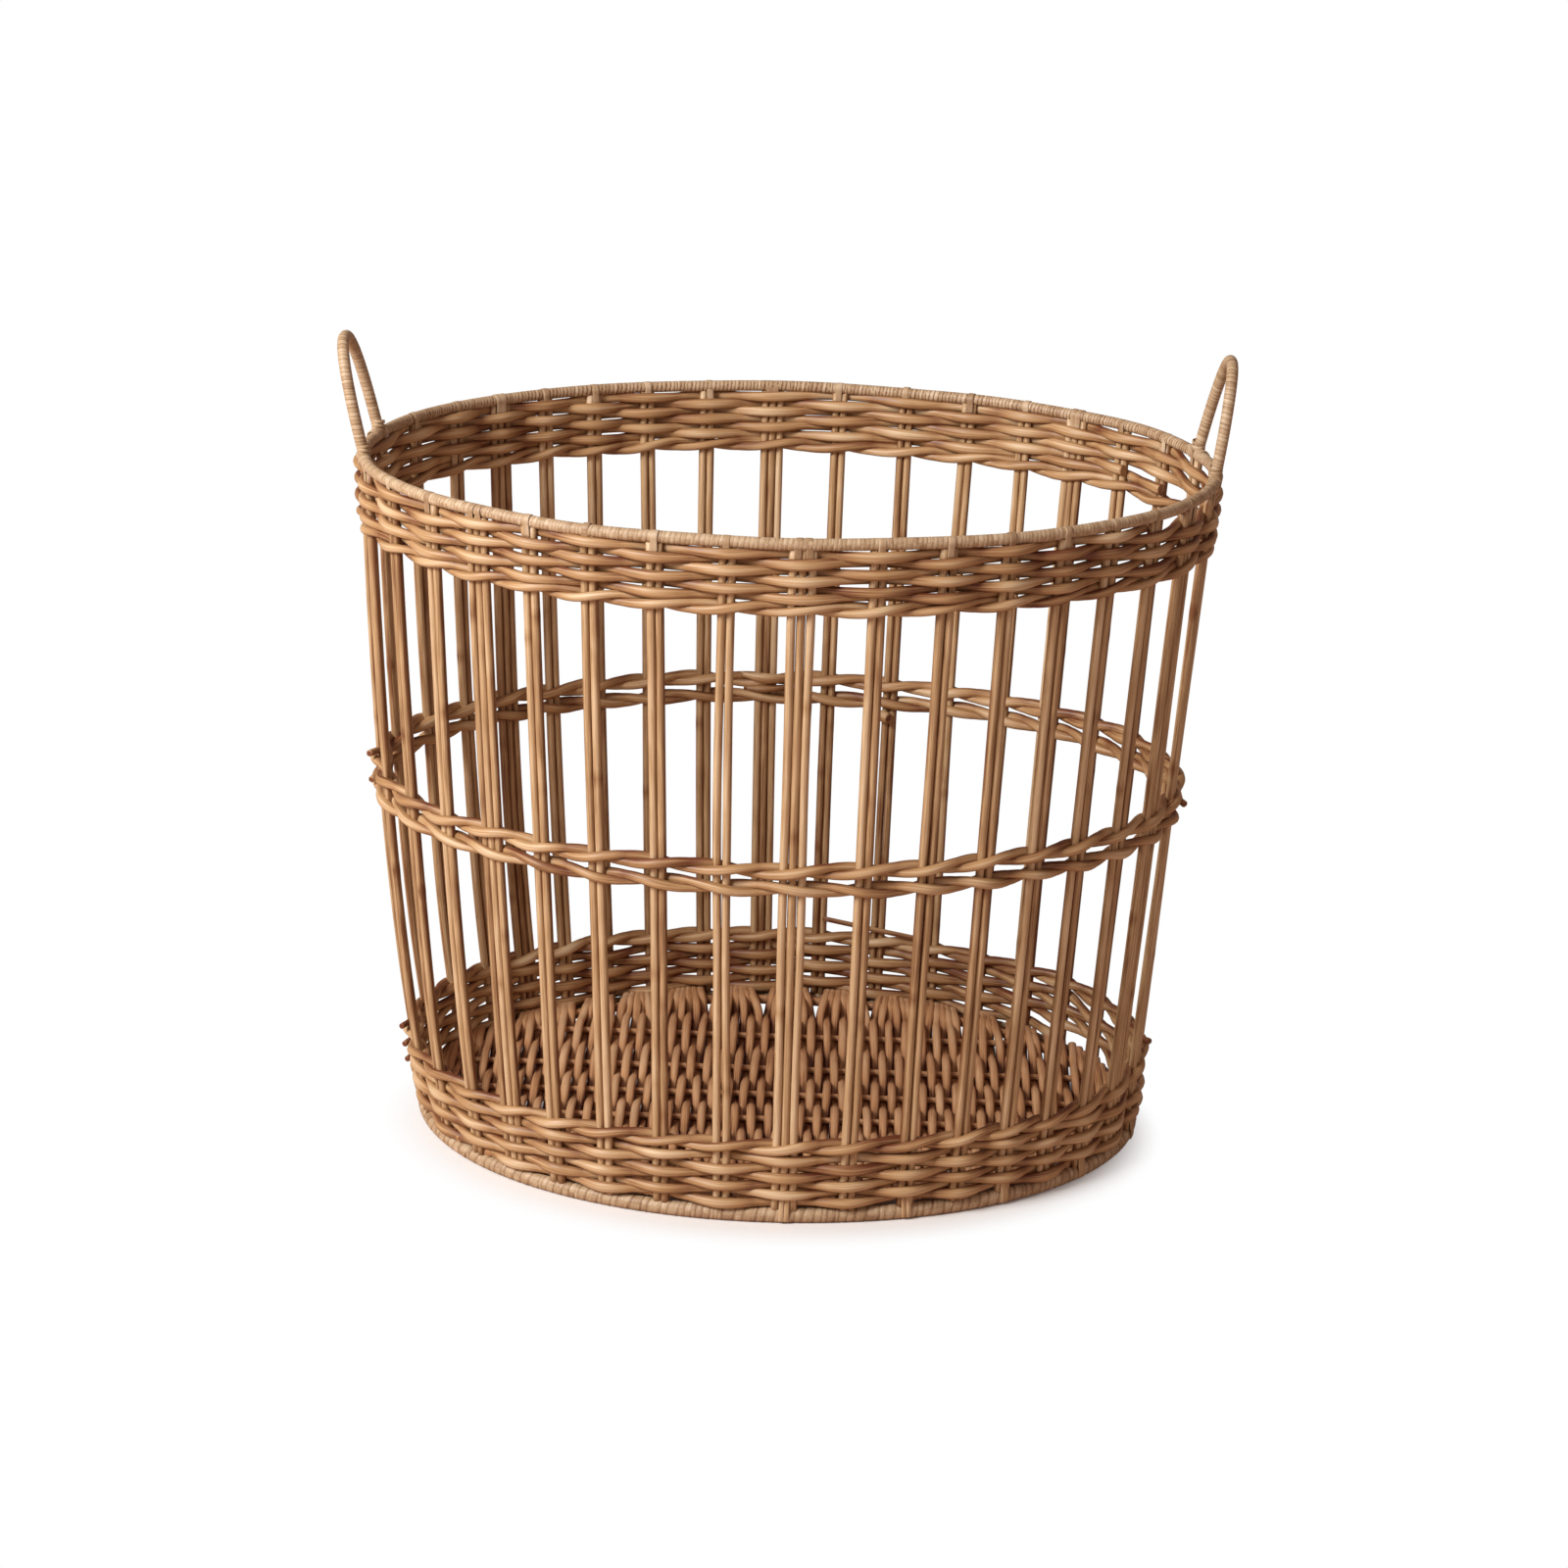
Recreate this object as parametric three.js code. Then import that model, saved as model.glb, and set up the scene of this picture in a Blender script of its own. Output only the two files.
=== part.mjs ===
import * as THREE from 'three';

// Oval open basket of round cane, in millimetres, +Z up, standing on z = 0 with its centre at x = y = 0.
// The long axis of the oval is X. The handles stand at the two ends of X.

// Outline of the wall, measured on its centreline
const RIM_LENGTH = 540;
const RIM_WIDTH = 400;
const FOOT_LENGTH = 486;
const FOOT_WIDTH = 344;
const RIM_HEIGHT = 452.5;

// Canes and hoops
const STAKE_CANE = 5.4;
const WEAVER = 5.75;
const MID_WEAVER = 5.1;
const TOP_WEAVER = 5;
const RIM_HOOP = 7.5;
const FOOT_HOOP_WIDTH = 9;
const FOOT_HOOP_HEIGHT = 9.5;
const HANDLE_CANE = 7.2;
const BASE_HOOP = 7;
const BASE_STICK = 6.4;
const BASE_WEAVER = 5;

// Clearances
const STRAND_GAP = 0.3;
const SEAT_GAP = 0.3;
const FOOT_SPACE = 5;

// Stakes: pairs of canes, with a third cane in some places, set by eye with a slow drift in their spacing
const HALF_STAKE_COUNT = 18;
const STAKE_COUNT = 2 * HALF_STAKE_COUNT;
const STAKE_PHASE = 0.195;
const STAKE_DRIFT = [
  { waves: 1, size: 0.11, phase: -1.7 },
  { waves: 2, size: 0.14, phase: -1.95 },
  { waves: 3, size: 0.05, phase: 2.9 },
  { waves: 4, size: 0.14, phase: 0.15 },
];
const TRIPLE_STAKES = [4, 9, 14, 22, 27, 34];
const CANE_OVERLAP = 0.2;
const GROOVE_DEPTH = 0.6;
const STROKE_LEAD = 2.8;

// Weave: rows of plain randing in the two bands, and where they step up to the next round
const ROUND_COUNT = 3;
const STEP_STAKES = 3;
const START_STAKES = 2;
const MID_BAND_HEIGHT = 238;
const MID_BAND_SPREAD = 15;

// Handles, measured on the cane's centreline
const HANDLE_WIDTH = 66;
const LEG_RUN = 5;
const LEFT_HANDLE = { rise: 70, lean: 12, shift: 0 };
const RIGHT_HANDLE = { rise: 68.5, lean: 7, shift: 10 };
const HANDLE_ROUNDNESS = 2.3;

// Base: sticks along X inside a hoop, woven along Y with several weavers laid abreast in each flat strand
const BASE_HEIGHT = 10.5;
const BASE_STICK_PLACES = [-88, -46, -8, 34, 89];
const BASE_COLUMNS = 20;
const ABREAST_COUNT = 4;
const LEAST_RUN = 26;
const TURN_SHARE = 0.62;

const TURN = 2 * Math.PI;
const UP = new THREE.Vector3(0, 0, 1);

// Finishes
const CANE = new THREE.MeshStandardMaterial({ color: 0xb98a56, roughness: 0.55, metalness: 0 });
const WEAVER_CANE = new THREE.MeshStandardMaterial({ color: 0xb17f4b, roughness: 0.5, metalness: 0 });
const WOUND_PEEL = new THREE.MeshStandardMaterial({ color: 0xc29a68, roughness: 0.6, metalness: 0 });
const BASE_CANE = new THREE.MeshStandardMaterial({ color: 0xa0703f, roughness: 0.6, metalness: 0 });

const basket = new THREE.Group();

function addPiece(name, geometry, material) {
  const mesh = new THREE.Mesh(geometry, material);
  mesh.name = name;
  basket.add(mesh);
  return mesh;
}

// Half the height of a hoop between the flats of its six-sided section
function flatHalf(diameter) {
  return (diameter / 2) * Math.cos(Math.PI / 6);
}

// Half-axes of the wall's oval at a height: a straight taper from the rim hoop down to the foot hoop
const FOOT_MIDDLE = FOOT_HOOP_HEIGHT / 2;
function halfAxes(height) {
  const rise = (height - FOOT_MIDDLE) / (RIM_HEIGHT - FOOT_MIDDLE);
  return {
    long: (FOOT_LENGTH + (RIM_LENGTH - FOOT_LENGTH) * rise) / 2,
    short: (FOOT_WIDTH + (RIM_WIDTH - FOOT_WIDTH) * rise) / 2,
  };
}

// Lengths along the oval halfway up the wall, used to share the stakes out evenly round it
const ARC_STEPS = 720;
const arcLengths = [0];
const middle = halfAxes(RIM_HEIGHT / 2);
for (let i = 1; i <= ARC_STEPS; i += 1) {
  const angle = (TURN * (i - 0.5)) / ARC_STEPS;
  const speed = Math.hypot(middle.long * Math.sin(angle), middle.short * Math.cos(angle));
  arcLengths.push(arcLengths[i - 1] + (speed * TURN) / ARC_STEPS);
}

// Angle on the oval of a place counted in stakes, which may lie between two stakes or past one turn
function ovalAngle(stake) {
  let drifted = stake + STAKE_PHASE;
  for (const wave of STAKE_DRIFT) {
    drifted += wave.size * Math.sin((TURN * wave.waves * stake) / STAKE_COUNT + wave.phase);
  }
  const turns = drifted / STAKE_COUNT;
  const wanted = (turns - Math.floor(turns)) * arcLengths[ARC_STEPS];
  let i = 1;
  while (i < ARC_STEPS && arcLengths[i] < wanted) {
    i += 1;
  }
  const part = (wanted - arcLengths[i - 1]) / (arcLengths[i] - arcLengths[i - 1]);
  return (TURN * (i - 1 + part)) / ARC_STEPS;
}

// Point of the wall at an angle and height, moved outward across the wall
function wallPoint(angle, height, outward) {
  const axes = halfAxes(height);
  const normal = new THREE.Vector3(axes.short * Math.cos(angle), axes.long * Math.sin(angle), 0).normalize();
  const point = new THREE.Vector3(axes.long * Math.cos(angle), axes.short * Math.sin(angle), height);
  return point.addScaledVector(normal, outward);
}

// Unbroken cane of a many-sided section along a list of points, flattened where a point has a width above 1
function sweep(points, side, radius, sides, closed, widths = []) {
  const count = points.length;
  const position = [];
  points.forEach((point, i) => {
    const before = points[closed ? (i - 1 + count) % count : Math.max(i - 1, 0)];
    const after = points[closed ? (i + 1) % count : Math.min(i + 1, count - 1)];
    const along = after.clone().sub(before).normalize();
    const reference = typeof side === 'function' ? side(point, along) : side;
    const across = reference.clone().addScaledVector(along, -reference.dot(along)).normalize();
    const third = along.clone().cross(across);
    const wide = widths[i] ?? 1;
    for (let j = 0; j < sides; j += 1) {
      const angle = (TURN * j) / sides;
      const corner = point.clone().addScaledVector(across, radius * wide * Math.cos(angle));
      corner.addScaledVector(third, radius * Math.sin(angle));
      position.push(corner.x, corner.y, corner.z);
    }
  });
  const index = [];
  const rings = closed ? count : count - 1;
  for (let i = 0; i < rings; i += 1) {
    const near = i * sides;
    const far = ((i + 1) % count) * sides;
    for (let j = 0; j < sides; j += 1) {
      const next = (j + 1) % sides;
      index.push(near + j, near + next, far + j, near + next, far + next, far + j);
    }
  }
  if (!closed) {
    const last = (count - 1) * sides;
    for (let j = 1; j < sides - 1; j += 1) {
      index.push(0, j + 1, j);
      index.push(last, last + j, last + j + 1);
    }
  }
  const geometry = new THREE.BufferGeometry();
  geometry.setAttribute('position', new THREE.Float32BufferAttribute(position, 3));
  geometry.setIndex(index);
  return geometry;
}

// Direction across a level cane, pointing away from the middle of the basket
function awayFromMiddle(point, along) {
  return along.clone().cross(UP);
}

function nameNumber(number) {
  return String(number).padStart(2, '0');
}

// Width of a stake, and how far from its middle a strand lies flat against it, counted in stake spacings
const spacing = arcLengths[ARC_STEPS] / STAKE_COUNT;
function canesIn(stake) {
  return TRIPLE_STAKES.includes(((stake % STAKE_COUNT) + STAKE_COUNT) % STAKE_COUNT) ? 3 : 2;
}
function halfStroke(stake) {
  const halfWidth = (STAKE_CANE + (canesIn(stake) - 1) * (STAKE_CANE - CANE_OVERLAP)) / 2;
  return (halfWidth + STROKE_LEAD) / spacing;
}

// Radius of the oval's curve at the foot, at an angle
const foot = halfAxes(FOOT_MIDDLE);
function footRadius(angle) {
  const speed = Math.hypot(foot.long * Math.sin(angle), foot.short * Math.cos(angle));
  return speed ** 3 / (foot.long * foot.short);
}

// How far from the wall's centreline the strands lie, with room for the straight strokes round the curve
const stakes = Array.from({ length: STAKE_COUNT }, (unused, stake) => stake);
const bends = stakes.map((stake) => (halfStroke(stake) * spacing) ** 2 / (2 * footRadius(ovalAngle(stake))));
const BAND_ROWS = 2 * ROUND_COUNT;
function swing(weaver) {
  return (STAKE_CANE + weaver) / 2 + STRAND_GAP + Math.max(...bends);
}
function rowPitch(weaver) {
  return weaver + STRAND_GAP;
}

// Plain randing: two weavers chase each other, in front of one stake and behind the next, in opposite step.
// A weaver lies flat against a stake, inside or outside it, and crosses the wall in the space between two.
// It runs level for most of a round, then climbs the two rows of a round over a few stakes.
function randWeaver(name, lowestRow, order, weaver) {
  const points = [];
  const first = START_STAKES + order;
  const last = first + ROUND_COUNT * STAKE_COUNT - STEP_STAKES - 1 - 2 * order;
  for (let stake = first; stake <= last; stake += 1) {
    const inside = (stake - first) % 2 === 0 ? -1 : 1;
    for (const place of [stake - halfStroke(stake), stake + halfStroke(stake)]) {
      const rounds = Math.max((place - START_STAKES) / STAKE_COUNT, 0);
      const whole = Math.floor(rounds);
      const past = (rounds - whole) * STAKE_COUNT - (STAKE_COUNT - STEP_STAKES);
      const climb = Math.max(past / STEP_STAKES, 0);
      const row = order + 2 * (whole + climb);
      points.push(wallPoint(ovalAngle(place), lowestRow + row * rowPitch(weaver), inside * swing(weaver)));
    }
  }
  addPiece(name, sweep(points, awayFromMiddle, weaver / 2, 4, false), WEAVER_CANE);
}

// Pairing: two strands twist round each other in every space, so that each stake is held between them.
// hand is 1 where the strand that goes inward passes above, and -1 where it passes below.
function pairing(name, height, hand, weaver) {
  ['a', 'b'].forEach((letter, strand) => {
    const points = [];
    for (let stake = 0; stake < STAKE_COUNT; stake += 1) {
      const outside = (stake + strand) % 2 === 0 ? 1 : -1;
      for (const way of [-1, 1]) {
        const lift = way * outside * hand * (rowPitch(weaver) / 2);
        const place = stake + way * halfStroke(stake);
        points.push(wallPoint(ovalAngle(place), height + lift, outside * swing(weaver)));
      }
    }
    addPiece(`${name}_${letter}`, sweep(points, awayFromMiddle, weaver / 2, 4, true), WEAVER_CANE);
  });
}

// Heights of the rows, counted from the hoop at each end of the wall
const BOTTOM_ROW = FOOT_HOOP_HEIGHT + FOOT_SPACE + WEAVER / 2;
const BOTTOM_PAIRING = BOTTOM_ROW + (BAND_ROWS + 0.5) * rowPitch(WEAVER);
const TOP_ROW = RIM_HEIGHT - flatHalf(RIM_HOOP) - STRAND_GAP - TOP_WEAVER / 2;
const TOP_BAND_LOW_ROW = TOP_ROW - (BAND_ROWS - 1) * rowPitch(TOP_WEAVER);
const TOP_PAIRING = TOP_BAND_LOW_ROW - 1.5 * rowPitch(TOP_WEAVER);

// Stakes: two or three round canes side by side, from the foot hoop up to the rim hoop, cut level
function stakeOutline(canes) {
  const radius = STAKE_CANE / 2;
  const step = STAKE_CANE - CANE_OVERLAP;
  const first = (-step * (canes - 1)) / 2;
  const corners = [];
  const turnRound = (centre, from, to) => {
    for (let degrees = from; degrees <= to; degrees += 60) {
      const angle = THREE.MathUtils.degToRad(degrees);
      corners.push(new THREE.Vector2(centre + radius * Math.cos(angle), radius * Math.sin(angle)));
    }
  };
  const groove = radius * GROOVE_DEPTH;
  turnRound(first, 90, 270);
  for (let cane = 1; cane < canes; cane += 1) {
    corners.push(new THREE.Vector2(first + (cane - 0.5) * step, groove - radius));
    turnRound(first + cane * step, -90, cane === canes - 1 ? 90 : -90);
  }
  for (let cane = canes - 1; cane > 0; cane -= 1) {
    corners.push(new THREE.Vector2(first + (cane - 0.5) * step, radius - groove));
    if (cane > 1) {
      turnRound(first + (cane - 1) * step, 90, 90);
    }
  }
  return new THREE.Shape(corners);
}

const STAKE_FOOT = FOOT_HOOP_HEIGHT + SEAT_GAP;
const STAKE_TOP = RIM_HEIGHT - flatHalf(RIM_HOOP) - SEAT_GAP;
for (const stake of stakes) {
  const angle = ovalAngle(stake);
  const low = wallPoint(angle, STAKE_FOOT, 0);
  const high = wallPoint(angle, STAKE_TOP, 0);
  const outward = wallPoint(angle, STAKE_FOOT, 1).sub(low);
  const turn = Math.atan2(outward.y, outward.x) + Math.PI / 2;
  const length = STAKE_TOP - STAKE_FOOT;
  const outline = stakeOutline(canesIn(stake));
  const geometry = new THREE.ExtrudeGeometry(outline, { depth: length, steps: 1, bevelEnabled: false });
  const slope = high.clone().sub(low).applyAxisAngle(UP, -turn);
  const shear = new THREE.Matrix4();
  shear.set(1, 0, slope.x / length, 0, 0, 1, slope.y / length, 0, 0, 0, 1, 0, 0, 0, 0, 1);
  geometry.applyMatrix4(shear);
  const mesh = addPiece(`stake_${nameNumber(stake + 1)}`, geometry, CANE);
  mesh.position.copy(low);
  mesh.rotation.z = turn;
}

// Hoops: the rim hoop over the stakes, and the foot hoop under them, taller than wide with a flat underside
function hoop(name, height, inset, diameter, material, narrowing = 1) {
  const points = stakes.map((stake) => wallPoint(ovalAngle(stake), height, -inset));
  const widths = points.map(() => narrowing);
  addPiece(name, sweep(points, awayFromMiddle, diameter / 2, 6, true, widths), material);
  return points;
}
const footDiameter = FOOT_HOOP_HEIGHT / (2 * flatHalf(1));
hoop('rim_hoop', RIM_HEIGHT, 0, RIM_HOOP, WOUND_PEEL);
hoop('foot_hoop', FOOT_MIDDLE, 0, footDiameter, WOUND_PEEL, FOOT_HOOP_WIDTH / footDiameter);

// Weave of the wall
randWeaver('bottom_band_weaver_a', BOTTOM_ROW, 0, WEAVER);
randWeaver('bottom_band_weaver_b', BOTTOM_ROW, 1, WEAVER);
pairing('bottom_pairing', BOTTOM_PAIRING, 1, WEAVER);
pairing('middle_lower_pairing', MID_BAND_HEIGHT - MID_BAND_SPREAD / 2, -1, MID_WEAVER);
pairing('middle_upper_pairing', MID_BAND_HEIGHT + MID_BAND_SPREAD / 2, 1, MID_WEAVER);
pairing('top_pairing', TOP_PAIRING, 1, TOP_WEAVER);
randWeaver('top_band_weaver_a', TOP_BAND_LOW_ROW, 0, TOP_WEAVER);
randWeaver('top_band_weaver_b', TOP_BAND_LOW_ROW, 1, TOP_WEAVER);

// Handles: arched canes whose legs stand on the rim hoop
const ARCH_STEPS = 12;
const LEG_FOOT = RIM_HEIGHT + flatHalf(RIM_HOOP) + SEAT_GAP;
const ARCH_FOOT = LEG_FOOT + LEG_RUN;
function handle(name, end, { rise, lean, shift }) {
  const rim = halfAxes(RIM_HEIGHT);
  const legAt = (y) => end * wallPoint(Math.asin(y / rim.short), RIM_HEIGHT, 0).x;
  const near = legAt(shift - HANDLE_WIDTH / 2);
  const far = legAt(shift + HANDLE_WIDTH / 2);
  const top = end * (rim.long + lean);
  const tall = RIM_HEIGHT + rise - ARCH_FOOT;
  const points = [new THREE.Vector3(near, shift - HANDLE_WIDTH / 2, LEG_FOOT)];
  for (let i = 0; i <= ARCH_STEPS; i += 1) {
    const angle = Math.PI * (1 - i / ARCH_STEPS);
    const power = 2 / HANDLE_ROUNDNESS;
    const across = Math.sign(Math.cos(angle)) * Math.abs(Math.cos(angle)) ** power;
    const risen = Math.sin(angle) ** power;
    const legs = near + ((far - near) * (across + 1)) / 2;
    const x = legs + (top - legs) * risen;
    points.push(new THREE.Vector3(x, shift + (across * HANDLE_WIDTH) / 2, ARCH_FOOT + tall * risen));
  }
  points.push(new THREE.Vector3(far, shift + HANDLE_WIDTH / 2, LEG_FOOT));
  const outward = new THREE.Vector3(end, 0, 0);
  addPiece(name, sweep(points, outward, HANDLE_CANE / 2, 6, false), WOUND_PEEL);
}
handle('handle_left', -1, LEFT_HANDLE);
handle('handle_right', 1, RIGHT_HANDLE);

// Base hoop, set in from the wall's weavers by room for the base weaver's turns outside it.
// A turn runs aslant, so it reaches outward by a share of the weaver's half-thickness.
const columnPitch = (2 * foot.long) / BASE_COLUMNS;
const TURN_ROOM = columnPitch ** 2 / (4 * footRadius(0));
const EDGE_SWING = (BASE_HOOP + BASE_WEAVER) / 2 + STRAND_GAP + TURN_ROOM;
const TURN_INSET = swing(WEAVER) + WEAVER / 2 + STRAND_GAP + (TURN_SHARE * BASE_WEAVER) / 2;
const HOOP_INSET = TURN_INSET + EDGE_SWING;
const hoopPoints = hoop('base_hoop', BASE_HEIGHT, HOOP_INSET, BASE_HOOP, BASE_CANE);

// Reach along one axis of a curve set in from the wall, at a distance from the middle along the other axis
function insetReach(axis, otherAxis, distance, inset) {
  let low = 0;
  let high = Math.PI / 2;
  for (let i = 0; i < 40; i += 1) {
    const angle = (low + high) / 2;
    const beyond = wallPoint(angle, BASE_HEIGHT, -inset)[otherAxis] > distance;
    if (beyond === (otherAxis === 'y')) {
      high = angle;
    } else {
      low = angle;
    }
  }
  return wallPoint((low + high) / 2, BASE_HEIGHT, -inset)[axis];
}

// Reach along X, towards one end, of the base hoop's inner face at a distance from the middle along Y
function hoopReach(end, y) {
  let reach = Infinity;
  hoopPoints.forEach((point, i) => {
    const next = hoopPoints[(i + 1) % STAKE_COUNT];
    const part = (y - point.y) / (next.y - point.y);
    const x = end * (point.x + (next.x - point.x) * part);
    if (part >= 0 && part <= 1 && x > 0) {
      const slant = Math.hypot(next.x - point.x, next.y - point.y) / Math.abs(next.y - point.y);
      reach = Math.min(reach, x - (BASE_HOOP / 2) * slant);
    }
  });
  return reach - SEAT_GAP;
}

// Sticks, cut square where they reach the hoop
BASE_STICK_PLACES.forEach((y, i) => {
  const edges = [y - BASE_STICK / 2, y + BASE_STICK / 2];
  const left = Math.min(...edges.map((edge) => hoopReach(-1, edge)));
  const right = Math.min(...edges.map((edge) => hoopReach(1, edge)));
  const geometry = new THREE.CylinderGeometry(BASE_STICK / 2, BASE_STICK / 2, left + right, 6);
  const mesh = addPiece(`base_stick_${i + 1}`, geometry, BASE_CANE);
  mesh.position.set((right - left) / 2, y, BASE_HEIGHT);
  mesh.rotation.z = Math.PI / 2;
});

// Columns of the base weaver: each crosses the sticks well clear of the hoop, and passes the others with it
const straightSwing = (BASE_STICK + BASE_WEAVER) / 2 + STRAND_GAP;
const BASE_SWING = straightSwing / Math.cos(Math.atan2(2 * straightSwing, LEAST_RUN));
const columnReach = insetReach('x', 'y', 0, HOOP_INSET + EDGE_SWING);
const columns = [];
for (let i = 0; i < BASE_COLUMNS; i += 1) {
  const x = (i + 0.5 - BASE_COLUMNS / 2) * columnPitch;
  const turn = insetReach('y', 'x', Math.abs(x), TURN_INSET);
  const inner = insetReach('y', 'x', Math.abs(x), HOOP_INSET + EDGE_SWING);
  const crossed = BASE_STICK_PLACES.filter((stick) => Math.abs(stick) < inner - LEAST_RUN);
  const passed = BASE_STICK_PLACES.filter((stick) => !crossed.includes(stick));
  const back = Math.min(inner, ...passed.filter((stick) => stick > 0));
  const front = Math.max(-inner, ...passed.filter((stick) => stick < 0));
  if (Math.abs(x) < columnReach - columnPitch) {
    columns.push({ x, turn, ends: [front, back], crossed });
  }
}

// Base weaver: one strand up and down all the columns, over and under the sticks.
// At each edge it passes under the hoop, turns up outside it, narrowed, and comes back over it one column on.
const basePath = [];
const baseWidths = [];
columns.forEach((column, i) => {
  const heading = i % 2 === 0 ? 1 : -1;
  const crossed = [...column.crossed].sort((a, b) => (a - b) * heading);
  const addPoint = (y, lift, width) => {
    basePath.push(new THREE.Vector3(column.x, y, BASE_HEIGHT + lift));
    baseWidths.push(width);
  };
  const [start, end] = heading > 0 ? column.ends : [...column.ends].reverse();
  addPoint(-heading * column.turn, EDGE_SWING, 1);
  addPoint(start, EDGE_SWING, 1);
  const swings = crossed.map((y, k) => (k % 2 === 0 ? -BASE_SWING : BASE_SWING));
  crossed.forEach((y, k) => addPoint(y, swings[k], ABREAST_COUNT));
  addPoint(end, -EDGE_SWING, 1);
  addPoint(heading * column.turn, -EDGE_SWING, 1);
});
const acrossColumns = new THREE.Vector3(1, 0, 0);
addPiece('base_weaver', sweep(basePath, acrossColumns, BASE_WEAVER / 2, 4, false, baseWidths), BASE_CANE);

export default basket;
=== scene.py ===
"""Oval open basket of round cane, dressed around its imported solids, in metres, +Z up."""

import math

import bpy
import numpy as np
from mathutils import Matrix, Vector


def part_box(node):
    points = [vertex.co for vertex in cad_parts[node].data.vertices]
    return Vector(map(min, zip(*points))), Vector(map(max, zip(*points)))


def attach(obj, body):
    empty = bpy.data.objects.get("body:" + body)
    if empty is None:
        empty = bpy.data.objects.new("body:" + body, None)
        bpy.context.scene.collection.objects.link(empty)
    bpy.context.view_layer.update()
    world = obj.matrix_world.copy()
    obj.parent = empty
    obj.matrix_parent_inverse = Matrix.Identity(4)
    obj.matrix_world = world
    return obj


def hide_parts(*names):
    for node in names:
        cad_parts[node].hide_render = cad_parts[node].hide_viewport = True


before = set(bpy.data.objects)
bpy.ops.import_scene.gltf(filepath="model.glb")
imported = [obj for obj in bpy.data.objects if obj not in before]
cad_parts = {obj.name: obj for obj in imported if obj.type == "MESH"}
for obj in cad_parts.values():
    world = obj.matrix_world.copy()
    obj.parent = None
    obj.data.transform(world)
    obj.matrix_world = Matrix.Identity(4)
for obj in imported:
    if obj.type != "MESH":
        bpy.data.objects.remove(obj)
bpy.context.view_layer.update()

MM = 0.001
TURN = 2 * math.pi
UP = np.array([0.0, 0.0, 1.0])

# Wall on its centreline, stakes, rows and base, as in the solids
RIM_LENGTH = 540 * MM
RIM_WIDTH = 400 * MM
FOOT_LENGTH = 486 * MM
FOOT_WIDTH = 344 * MM
RIM_HEIGHT = 452.5 * MM
FOOT_HOOP_HEIGHT = 9.5 * MM
FOOT_HOOP_WIDTH = 9 * MM
FOOT_MIDDLE = FOOT_HOOP_HEIGHT / 2
STAKES = 36
STAKE_PHASE = 0.195
STAKE_DRIFT = [(1, 0.11, -1.7), (2, 0.14, -1.95), (3, 0.05, 2.9), (4, 0.14, 0.15)]
TRIPLE_STAKES = (4, 9, 14, 22, 27, 34)
STAKE_CANE = 5.4 * MM
CANE_OVERLAP = 0.2 * MM
ROW_PITCH = 6.05 * MM
TOP_ROW_PITCH = 5.3 * MM
BAND_ROUNDS = 3
BAND_ROWS = 2 * BAND_ROUNDS
STEP_STAKES = 3
TOP_START = 2
TOP_ROW = RIM_HEIGHT - 6.6 * MM
TOP_BAND_LOW_ROW = TOP_ROW - (BAND_ROWS - 1) * TOP_ROW_PITCH
MID_BAND = 238 * MM
BASE_HEIGHT = 10.5 * MM

# Rows and thicknesses that differ from the solids, which stay clear of each other
BOTTOM_START = 3
BOTTOM_ROW = 14.3 * MM
BOTTOM_TWIST_HEIGHT = BOTTOM_ROW + (BAND_ROWS + 0.4) * ROW_PITCH
TOP_TWIST_HEIGHT = TOP_BAND_LOW_ROW - 1.35 * TOP_ROW_PITCH
MID_SPREAD = 12.6 * MM
WEAVER = 7.2 * MM
TOP_WEAVER = 6.9 * MM
MID_WEAVER = 6.5 * MM
BOTTOM_TWIST_CANE = 6.3 * MM
TOP_TWIST_CANE = 6.0 * MM
RIM_RADIUS = 3.7 * MM
HANDLE_RADIUS = 3.7 * MM
BASE_STICK = 4.4 * MM

# Camera: where it stands, and how it looks at the middle of the wall
LENS_MM = 76.5
SENSOR_MM = 36
CAMERA_DISTANCE = 2193.5 * MM
CAMERA_RISE = 0.3471
CAMERA_YAW = -0.0131
CAMERA_ROLL = 0.0267
AIM_HEIGHT = 232.3 * MM
AIM_SIDE = 2.1 * MM

# Slow wobbles make at least the first number of turns round the basket, and fewer than the second
WANDER_TURNS = (2, 19)


def unit(vectors):
    """Each vector divided by its own length."""
    return vectors / np.linalg.norm(vectors, axis=-1, keepdims=True)


def smooth(low, high, values):
    """0 below low, 1 above high, and the cubic 3t^2 - 2t^3 in between."""
    t = np.clip((values - low) / (high - low), 0, 1)
    return t * t * (3 - 2 * t)


def signed_power(wave, power):
    """The size of a wave raised to a power, with the wave's own sign."""
    return np.sign(wave) * np.abs(wave) ** power


def run_lengths(points):
    """Length along a path up to each of its points: the running sum of its straight steps."""
    steps = np.linalg.norm(np.diff(points, axis=0), axis=1)
    return np.concatenate([[0], np.cumsum(steps)])


def wander(places, seed, size, waves=5):
    """A slow wobble round the basket: the sum of a few sines of seeded whole turns and seeded
    phases, each of them size over the root of their number high."""
    random = np.random.default_rng(seed)
    phases = random.uniform(0, TURN, waves)
    counts = random.integers(*WANDER_TURNS, waves)
    turns = TURN * np.asarray(places)[..., None] / STAKES
    return size * np.sin(turns * counts + phases).sum(-1) / math.sqrt(waves)


def jitter(places, seed, size, count=STAKES):
    """Seeded values at `count` whole places, over and over, joined by the step 3t^2 - 2t^3."""
    values = np.random.default_rng(seed).uniform(-size, size, count)
    low = np.floor(places).astype(int)
    part = smooth(0, 1, places - low)
    return values[low % count] * (1 - part) + values[(low + 1) % count] * part


# The wall

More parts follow.
